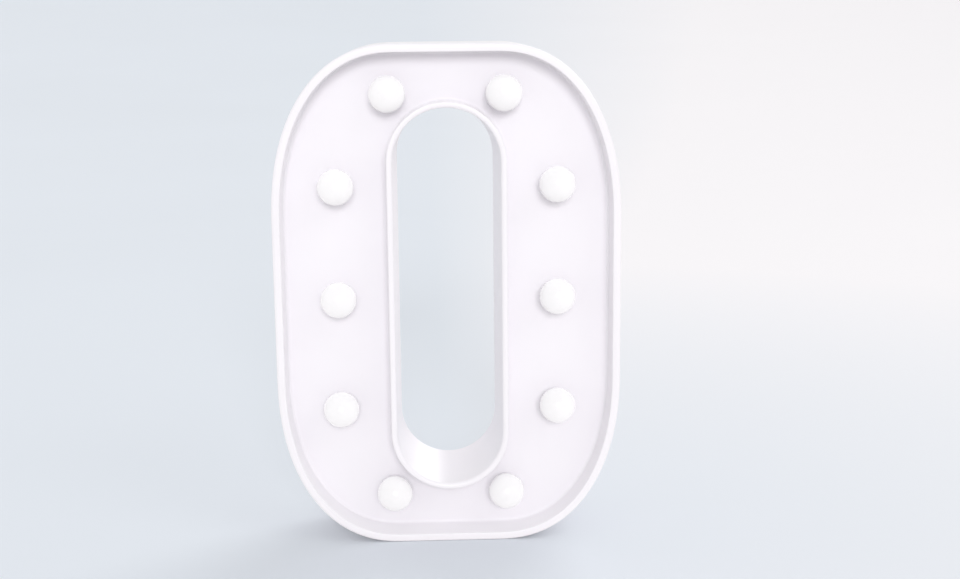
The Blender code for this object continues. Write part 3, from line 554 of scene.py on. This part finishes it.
def make_bay():
    """The bay's outer box, notched where the door's hooks swing."""
    bay = box_plug(around(BAY_X, BAY_WIDTH + 2 * BAY_WALL), (BAY_BOTTOM - BAY_WALL, BAY_TOP + BAY_WALL),
                   EASE, [(0, BAY_FLOOR_Y - BAY_FLOOR), (0, COVER_MIDDLE_Y)])
    swing = DOOR_THICKNESS / 2 + FIT + HOOK_REACH + HOOK_THICKNESS + FIT
    notches = [box_plug(around(x, HOOK_WIDTH + 2 * FIT), (HINGE_Z - swing, HINGE_Z + swing), EASE,
                        [(0, HINGE_Y - swing), (0, BACK_Y + OVERRUN)]) for x in hook_places()]
    cut(bay, *notches)
    return bay


def keyhole_outline(grow):
    """A round hole under a narrow slot, widened all round."""
    head, slot = KEYHOLE_HEAD + grow, KEYHOLE_SLOT + grow
    mouth = math.degrees(math.asin(slot / head))
    return (bend(0, 0, head, mouth - 270, 90 - mouth, KEYHOLE_STEPS)
            + bend(0, KEYHOLE_RISE, slot, 0, 180, KEYHOLE_SLOT_STEPS))


def make_mark(words, z):
    """A word to engrave in the cover, centred on the switch and read from behind."""
    curve = bpy.data.curves.new("mark", "FONT")
    curve.body = words
    curve.size = MARK_SIZE
    curve.align_x = "CENTER"
    curve.align_y = "CENTER"
    curve.extrude = MARK_DEPTH + OVERRUN / 2
    curve.offset = MARK_SWELL
    curve.resolution_u = MARK_STEPS
    written = link_object("mark", curve)
    graph = bpy.context.evaluated_depsgraph_get()
    mesh = bpy.data.meshes.new_from_object(written.evaluated_get(graph))
    bpy.data.objects.remove(written)
    bm = bmesh.new()
    bm.from_mesh(mesh)
    bmesh.ops.remove_doubles(bm, verts=bm.verts, dist=WELD)
    bmesh.ops.recalc_face_normals(bm, faces=bm.faces)
    mark = new_object("mark", bm)
    facing = Matrix(((-1, 0, 0, 0), (0, 0, 1, 0), (0, 1, 0, 0), (0, 0, 0, 1)))
    mark.data.transform(facing)
    return shift(mark, BAY_X, BACK_Y + OVERRUN / 2, z)


def make_cover(material):
    """The rear cover with its screw wells, battery bay, finger scoop, switch dish, keyholes and marks."""
    edge = REAR_LIP + FIT
    section = [(edge, COVER_Y), (edge, BACK_Y - COVER_EDGE - SUPPORT)]
    section += bend(edge + COVER_EDGE, BACK_Y - COVER_EDGE, COVER_EDGE, 180, 90, EDGE_STEPS)
    section += [(edge + COVER_EDGE + SUPPORT, BACK_Y)]
    rings = [outer_ring(inset, y) for inset, y in section]
    rings += [counter_ring(offset, y) for offset, y in reversed(section)]
    cover = loft("cover", rings, closed=True)

    post, bore, passage = SCREW_HEAD + FIT + WELL_WALL, SCREW_HEAD + FIT, SCREW_RADIUS + FIT
    well = [(post, WELL_Y), (post, COVER_MIDDLE_Y)]
    mouth = [(bore, WELL_Y + WELL_FLOOR), (bore, BACK_Y - EASE), (bore + EASE + OVERRUN, BACK_Y + OVERRUN)]
    shank = [(passage, WELL_Y - OVERRUN), (passage, WELL_Y + WELL_FLOOR + OVERRUN)]
    for profile, use in ((well, add), (mouth, cut), (shank, cut)):
        use(cover, *turned_at(SCREW_NODES, profile))

    add(cover, make_bay())
    door_x = around(BAY_X, BAY_WIDTH + 2 * BAY_LEDGE + 2 * FIT)
    door_z = (BAY_BOTTOM - BAY_LEDGE - FIT, BAY_TOP + BAY_LEDGE + FIT)
    cut(cover, box_plug(door_x, door_z, DOOR_CORNER, cutter(LEDGE_Y)))
    cut(cover, box_plug(around(BAY_X, BAY_WIDTH), (BAY_BOTTOM, BAY_TOP), EASE,
                        [(0, BAY_FLOOR_Y), (0, BACK_Y + OVERRUN)]))
    slits = []
    for node in ("contact_positive", "contact_negative"):
        slit_z = (BAY_TOP - 2 * FIT - CONTACT_SHEET, BAY_TOP + FIT)
        slits.append(box_plug(around(node_middle(node).x, CONTACT_TAB + 2 * FIT), slit_z, FIT,
                              [(0, BAY_FLOOR_Y - BAY_FLOOR - OVERRUN), (0, BAY_FLOOR_Y + OVERRUN)]))
    cut(cover, *slits)
    ball = turned("scoop", bend(0, 0, SCOOP_RADIUS, -90, 90, SCOOP_STEPS), LARGE_SIDES)
    cut(cover, shift(ball, BAY_X, BACK_Y + SCOOP_RADIUS - SCOOP_DEPTH, door_z[1]))

    window_x = around(BAY_X, KNOB_WIDTH + 2 * FIT)
    window_z = around(SWITCH_Z, KNOB_LENGTH + SWITCH_TRAVEL + 2 * FIT)
    dish_x = (window_x[0] - DISH_MARGIN, window_x[1] + DISH_MARGIN)
    dish_z = (window_z[0] - DISH_MARGIN, window_z[1] + DISH_MARGIN)
    cut(cover, box_plug(dish_x, dish_z, DISH_CORNER, cutter(BACK_Y - DISH_DEPTH)))
    cut(cover, box_plug(window_x, window_z, WINDOW_CORNER, [(0, COVER_Y - OVERRUN), (0, BACK_Y + OVERRUN)]))

    keyholes = []
    for x in around(0, KEYHOLE_SPACING):
        keyhole = plug(keyhole_outline, cutter(COVER_Y - OVERRUN))
        keyholes.append(shift(keyhole, x, 0, HEIGHT - KEYHOLE_DROP))
    cut(cover, *keyholes)
    for words, z in (("ON", dish_z[1] + MARK_GAP), ("OFF", dish_z[0] - MARK_GAP)):
        cut(cover, make_mark(words, z))
    dress(cover, "cover_dressed", material, "housing", ["back_cover"])


def door_outline(y):
    """The door's outline at a depth: its foot is half round, and its other edges are eased."""
    half = DOOR_THICKNESS / 2
    off = y - HINGE_Y
    foot = half - math.sqrt(max(half ** 2 - off ** 2, 0))
    inset = max(0, abs(off) - (half - EASE))
    inset = EASE - math.sqrt(max(EASE ** 2 - inset ** 2, 0))
    x_range = (DOOR_LOW.x + inset, DOOR_HIGH.x - inset)
    return round_box(x_range, (HINGE_Z - half + foot, DOOR_HIGH.z - inset), DOOR_CORNER - FIT)


def hook_outline():
    """The hooks' section in (y, z): inwards from the door's foot, then down behind the cover."""
    outer = COVER_Y - FIT
    inner = outer - HOOK_THICKNESS
    top, knee = HINGE_Z + HOOK_ROOT, HINGE_Z
    tip = HINGE_Z - DOOR_THICKNESS / 2 - FIT - HOOK_REACH
    return [(inner, tip), (outer, tip), (outer, knee), (HINGE_Y, knee), (HINGE_Y, top), (inner, top)]


def make_door(material):
    """The door, with hooks at its foot and a ribbed latch tongue at its head."""
    rings = []
    for step in range(DOOR_STEPS + 1):
        y = HINGE_Y - DOOR_THICKNESS / 2 * math.cos(math.pi * step / DOOR_STEPS)
        rings.append([(x, y, z) for x, z in door_outline(y)])
    door = loft("door", rings)
    for x in hook_places():
        sides = around(x, HOOK_WIDTH)
        add(door, loft("hook", [[(side, y, z) for y, z in hook_outline()] for side in sides]))
    head = DOOR_HIGH.z
    slit_z = (head - LATCH_LENGTH, head + OVERRUN)
    slits = []
    for x in around(BAY_X, LATCH_WIDTH + LATCH_SLIT):
        slits.append(box_plug(around(x, LATCH_SLIT), slit_z, LATCH_SLIT_CORNER,
                              [(0, DOOR_INNER_Y - OVERRUN), (0, DOOR_OUTER_Y + OVERRUN)]))
    cut(door, *slits)
    rib_x = around(BAY_X, LATCH_WIDTH - 2 * LATCH_RIB)
    crest = [(0, HINGE_Y), (0, DOOR_OUTER_Y + LATCH_RIB_RISE / 2)]
    crest += [(-LATCH_RIB * RIB_TAPER, DOOR_OUTER_Y + LATCH_RIB_RISE)]
    ribs = []
    for rib in range(LATCH_RIBS):
        rib_z = around(head - (rib + 1) * LATCH_RIB_PITCH, LATCH_RIB)
        ribs.append(box_plug(rib_x, rib_z, LATCH_RIB * RIB_CORNER, crest))
    add(door, *ribs)
    dress(door, "door_dressed", material, "door", ["battery_door"])


def make_cells(jacket, metal):
    """Two cells: a jacket round a can, with the button at one end."""
    body_end = CELL_LENGTH - CELL_BUTTON_HEIGHT
    deck, groove = body_end - JACKET_STEP, body_end - 2 * JACKET_STEP
    shoulder = CELL_RADIUS - CELL_SHOULDER
    lining = shoulder - JACKET_STEP
    inner = shoulder - JACKET_LIP
    can = inner + JACKET_LIP / 2
    wrap = [(inner, 0)] + bend(shoulder, CELL_SHOULDER, CELL_SHOULDER, -90, 0, ROUND_STEPS)
    wrap += bend(shoulder, body_end - CELL_SHOULDER, CELL_SHOULDER, 0, 90, ROUND_STEPS)
    wrap += [(inner, body_end), (inner, deck), (lining, deck), (lining, JACKET_STEP), (inner, JACKET_STEP)]
    cap = [(0, JACKET_STEP), (can, JACKET_STEP), (can, groove), (CELL_RING, groove)]
    cap += [(CELL_BUTTON + CELL_SHOULDER, deck), (CELL_BUTTON, deck)]
    cap += bend(CELL_BUTTON - CELL_BUTTON_ROUND, CELL_LENGTH - CELL_BUTTON_ROUND, CELL_BUTTON_ROUND, 0, 90,
                EDGE_STEPS)
    cap += [(0, CELL_LENGTH)]
    for node, turn in (("battery_cell_inner", 1), ("battery_cell_outer", -1)):
        low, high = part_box(node)
        start = low.z if turn > 0 else high.z
        for profile, material, slot, part, closed in ((wrap, jacket, "cell_jacket", "jacket", True),
                                                      (cap, metal, "contact_steel", "can", False)):
            piece = turned("cell", profile, SIDES, closed)
            piece.rotation_euler = (turn * math.pi / 2, 0, 0)
            piece.location = ((low.x + high.x) / 2, CELL_Y, start)
            name = node.replace("battery_cell", f"cell_{part}")
            dress(piece, name, material, "housing", [node])


def make_springs(material):
    """Conical coils from the contacts towards the cells' flat ends."""
    count = round(SPRING_TURNS * SPRING_TURN_STEPS)
    for node, cell, direction in (("spring_negative", "battery_cell_outer", -1),
                                  ("spring_bridge", "battery_cell_inner", 1)):
        low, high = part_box(node)
        middle = node_middle(cell)
        base = low.z + SPRING_WIRE if direction > 0 else high.z - SPRING_WIRE
        rise = direction * (high.z - low.z - 2 * SPRING_WIRE)
        curve = bpy.data.curves.new(node, "CURVE")
        curve.dimensions = "3D"
        curve.bevel_depth = SPRING_WIRE
        curve.bevel_resolution = WIRE_STEPS
        curve.use_fill_caps = True
        spline = curve.splines.new("POLY")
        spline.points.add(count)
        for index, point in enumerate(spline.points):
            share = index / count
            angle = 2 * math.pi * SPRING_TURNS * share
            radius = SPRING_BASE + (SPRING_TOP - SPRING_BASE) * share
            x, y = middle.x + radius * math.cos(angle), CELL_Y + radius * math.sin(angle)
            point.co = (x, y, base + rise * share, 1)
        coil = link_object(node, curve)
        dress(coil, node.replace("spring", "coil"), material, "housing", [node])


def make_knob(material):
    """The ribbed knob of the slide switch."""
    top = KNOB_HIGH.y - KNOB_RIB_RISE
    edge = bend(KNOB_ROUND, top - KNOB_ROUND, KNOB_ROUND, 180, 90, EDGE_STEPS)
    sections = [(0, KNOB_LOW.y)] + [(-inset, y) for inset, y in edge]
    block = box_plug(around(BAY_X, KNOB_WIDTH), (KNOB_LOW.z, KNOB_HIGH.z), KNOB_CORNER, sections)
    rib_x = around(BAY_X, KNOB_WIDTH - KNOB_RIB)
    crest = [(0, top - KNOB_ROUND), (0, KNOB_HIGH.y - KNOB_RIB_CREST), (-KNOB_RIB * RIB_TAPER, KNOB_HIGH.y)]
    ribs = []
    for rib in range(KNOB_RIBS):
        rib_z = around(KNOB_LOW.z + KNOB_RIB_PITCH / 2 + rib * KNOB_RIB_PITCH, KNOB_RIB)
        ribs.append(box_plug(rib_x, rib_z, KNOB_RIB * RIB_CORNER, crest))
    add(block, *ribs)
    dress(block, "knob_dressed", material, "switch", ["switch_knob"])


def object_place(nodes):
    """A point's place in the object's own coordinates."""
    return nodes.new("ShaderNodeTexCoord").outputs["Object"]


def component(nodes, links, vector, axis):
    """One component of a vector."""
    node = nodes.new("ShaderNodeSeparateXYZ")
    links.new(vector, node.inputs["Vector"])
    return node.outputs[axis]


def vector_result(nodes, links, operation, vector, output):
    """What an operation makes of one vector."""
    node = nodes.new("ShaderNodeVectorMath")
    node.operation = operation
    links.new(vector, node.inputs[0])
    return node.outputs[output]


def noise(nodes, links, place, scale, detail):
    """Noise over a place."""
    node = nodes.new("ShaderNodeTexNoise")
    node.inputs["Scale"].default_value = scale
    node.inputs["Detail"].default_value = detail
    links.new(place, node.inputs["Vector"])
    return node.outputs["Fac"]


def spread(nodes, links, value, span, low, high):
    """Maps a value over a span to a range, clamped at both ends."""
    node = nodes.new("ShaderNodeMapRange")
    node.inputs["From Min"].default_value = span[0]
    node.inputs["From Max"].default_value = span[1]
    node.inputs["To Min"].default_value = low
    node.inputs["To Max"].default_value = high
    links.new(value, node.inputs["Value"])
    return node.outputs["Result"]


def combine_values(nodes, links, operation, first, second):
    """Works out one value from two sockets."""
    node = nodes.new("ShaderNodeMath")
    node.operation = operation
    links.new(first, node.inputs[0])
    links.new(second, node.inputs[1])
    return node.outputs["Value"]


def blend_colours(nodes, links, share, first, second, mode="MIX"):
    """Mixes two colours, each a socket or a plain colour, by a share or a socket."""
    node = nodes.new("ShaderNodeMixRGB")
    node.blend_type = mode
    for socket, given in zip(("Fac", "Color1", "Color2"), (share, first, second)):
        if isinstance(given, bpy.types.NodeSocket):
            links.new(given, node.inputs[socket])
        else:
            node.inputs[socket].default_value = given if socket == "Fac" else (*given, 1)
    return node.outputs["Color"]


def surface(name, colour, roughness, metallic=0.0, shade=0.985, cloud=30.0, grain=1600.0, relief=0.02,
            milkiness=0.0):
    """A moulded or plated surface whose colour, gloss and relief vary slightly from place to place.

    Cloud is the scale of the noise behind colour and gloss, and grain that of the noise behind relief.
    Shade is the share of the colour that is left where it is darkest. Milkiness flattens the shading, as
    light spreading inside a cloudy plastic does.
    """
    material = bpy.data.materials.new(name)
    material.use_nodes = True
    nodes, links = material.node_tree.nodes, material.node_tree.links
    shader = nodes["Principled BSDF"]
    shader.inputs["Metallic"].default_value = metallic
    shader.inputs["Diffuse Roughness"].default_value = milkiness
    place = object_place(nodes)

    clouds = noise(nodes, links, place, cloud, CLOUD_DETAIL)
    tint = nodes.new("ShaderNodeValToRGB")
    for element, position, share in zip(tint.color_ramp.elements, NOISE_SPAN, (shade, 1)):
        element.position = position
        element.color = (*[share * part for part in colour], 1)
    links.new(clouds, tint.inputs["Fac"])
    links.new(tint.outputs["Color"], shader.inputs["Base Color"])
    gloss_low, gloss_high = roughness * (1 - GLOSS_SHARE), roughness * (1 + GLOSS_SHARE)
    links.new(spread(nodes, links, clouds, NOISE_SPAN, gloss_low, gloss_high), shader.inputs["Roughness"])

    bump = nodes.new("ShaderNodeBump")
    bump.inputs["Strength"].default_value = relief
    bump.inputs["Distance"].default_value = RELIEF_DISTANCE
    links.new(noise(nodes, links, place, grain, GRAIN_DETAIL), bump.inputs["Height"])
    links.new(bump.outputs["Normal"], shader.inputs["Normal"])
    return material


def slot_colour(slot):
    """A slot's colour in the record."""
    return next(tuple(made["base_color"]) for made in frame["record"]["materials"] if made["slot"] == slot)


def banded_jacket():
    """The cells' dark jacket, printed with a paler band at the button end."""
    material = surface("cell jacket", slot_colour("cell_jacket"), roughness=0.34, shade=0.9, cloud=60)
    nodes, links = material.node_tree.nodes, material.node_tree.links
    shader = nodes["Principled BSDF"]
    ground = shader.inputs["Base Color"].links[0].from_socket
    along = component(nodes, links, object_place(nodes), "Y")
    edge = CELL_LENGTH - CELL_BUTTON_HEIGHT - JACKET_BAND
    band = spread(nodes, links, along, (edge, edge + JACKET_BAND_EDGE), 0, 1)
    links.new(blend_colours(nodes, links, band, ground, JACKET_BAND_COLOUR), shader.inputs["Base Color"])
    return material


def floor_paper():
    """Pale blue paper with painted light, which turns it nearly white far out on the right, and painted
    shade, which darkens it far out.

    Rays that come straight from the camera, or by way of gloss or glass, see that colour. The light that the
    paper throws on the object is neutral.
    """
    material = surface("floor paper", (1, 1, 1), roughness=0.9, cloud=2.0, grain=400)
    nodes, links = material.node_tree.nodes, material.node_tree.links
    shader = nodes["Principled BSDF"]
    mottle = shader.inputs["Base Color"].links[0].from_socket
    place = object_place(nodes)
    towards = vector_result(nodes, links, "NORMALIZE", place, "Vector")
    distance = vector_result(nodes, links, "LENGTH", place, "Value")
    # Painted light and shade: the floor's colour whitens towards the right, as if lit from there, and stays
    # blue-grey on the left
    across = spread(nodes, links, component(nodes, links, towards, "X"), FLOOR_TURN, 0, 1)
    lit = spread(nodes, links, distance, FLOOR_LIT, 0, 1)
    share = combine_values(nodes, links, "MULTIPLY", across, lit)
    painted_light_tone = blend_colours(nodes, links, share, FLOOR_PAINTED_SHADE_LEFT, FLOOR_PAINTED_LIGHT_RIGHT)
    # Painted shade: the floor's colour darkens far out
    painted_far_shade = spread(nodes, links, distance, FLOOR_FAR, 1, FLOOR_PAINTED_FAR_SHADE)
    shown = blend_colours(nodes, links, 1, painted_light_tone, painted_far_shade, "MULTIPLY")
    shown = blend_colours(nodes, links, 1, shown, mottle, "MULTIPLY")
    path = nodes.new("ShaderNodeLightPath")
    seen = path.outputs["Is Camera Ray"]
    for ray in ("Is Glossy Ray", "Is Transmission Ray"):
        seen = combine_values(nodes, links, "MAXIMUM", seen, path.outputs[ray])
    links.new(blend_colours(nodes, links, seen, FLOOR_BOUNCE, shown), shader.inputs["Base Color"])
    return material


def make_floor():
    """The pale dish under and behind the numeral."""
    section = [(0, 0)]
    for step in range(FLOOR_STEPS + 1):
        share = step / FLOOR_STEPS
        section.append((FLOOR_FLAT + share * (FLOOR_RADIUS - FLOOR_FLAT), FLOOR_RISE * share * share))
    turns = full_turn(LARGE_SIDES)
    rings = [[(radius * math.cos(turn), radius * math.sin(turn), z) for turn in turns]
             for radius, z in section]
    floor = loft("floor", rings, capped=False)
    floor.data.shade_smooth()
    floor.data.materials.append(floor_paper())


def make_lamp(name, towards, angle, strength):
    """A distant soft lamp; towards points from the object to it."""
    data = bpy.data.lights.new(name, "SUN")
    data.angle = math.radians(angle)
    data.energy = strength
    lamp = link_object(name, data)
    lamp.location = towards
    lamp.rotation_euler = (-Vector(towards)).to_track_quat("-Z", "Y").to_euler()


shell_white = surface("shell plastic", SHELL_COLOUR, roughness=0.34, milkiness=0.5)
cover_white = surface("cover plastic", slot_colour("cover_white"), roughness=0.45, relief=0.12, grain=2200)
milky = surface("milky plastic", BULB_COLOUR, roughness=0.24, shade=0.99, relief=0.01, milkiness=1.0)
lens = surface("diode epoxy", slot_colour("diode_lens"), roughness=0.12, cloud=400)
wire_red = surface("red insulation", slot_colour("wire_red"), roughness=0.45, shade=0.85, relief=0.1)
wire_black = surface("black insulation", slot_colour("wire_black"), roughness=0.45, shade=0.8, relief=0.1)
nickel = surface("nickel plate", slot_colour("contact_steel"), roughness=0.23, metallic=1.0, shade=0.9,
                 cloud=300, relief=0.05)
zinc = surface("zinc plate", slot_colour("screw_steel"), roughness=0.32, metallic=1.0, shade=0.8, cloud=700,
               relief=0.08)
switch_black = surface("switch plastic", slot_colour("switch_black"), roughness=0.42, shade=0.8, relief=0.15)

make_shell(shell_white)
make_bulbs(milky)
make_cover(cover_white)
make_screws(zinc)
make_door(cover_white)
make_cells(banded_jacket(), nickel)
make_springs(nickel)
make_knob(switch_black)

# The look of the CAD nodes that stay, by the start of their names
KEPT = {"led_": lens, "contact_": nickel, "switch_housing": switch_black, "wire_bus_positive": wire_red,
        "wire_switch": wire_red, "wire_battery_to": wire_red, "wire_bus_negative": wire_black,
        "wire_battery_return": wire_black}
for node, kept in frame["nodes"].items():
    for start, material in KEPT.items():
        if node.startswith(start):
            for holder in kept.material_slots:
                holder.material = material

make_floor()
for name, (towards, angle, strength) in LAMPS.items():
    make_lamp(name, towards, angle, strength)

world = bpy.data.worlds.new("studio")
world.use_nodes = True
world.node_tree.nodes["Background"].inputs["Color"].default_value = (1, 1, 1, 1)
world.node_tree.nodes["Background"].inputs["Strength"].default_value = WORLD_STRENGTH
bpy.context.scene.world = world

view = bpy.data.cameras.new("camera")
view.lens = LENS
view.sensor_width = SENSOR_WIDTH
camera = link_object("camera", view)
camera.location = CAMERA_PLACE
camera.rotation_euler = [math.radians(turn) for turn in CAMERA_TURN]
bpy.context.scene.camera = camera
bpy.context.scene.view_settings.view_transform = "Standard"
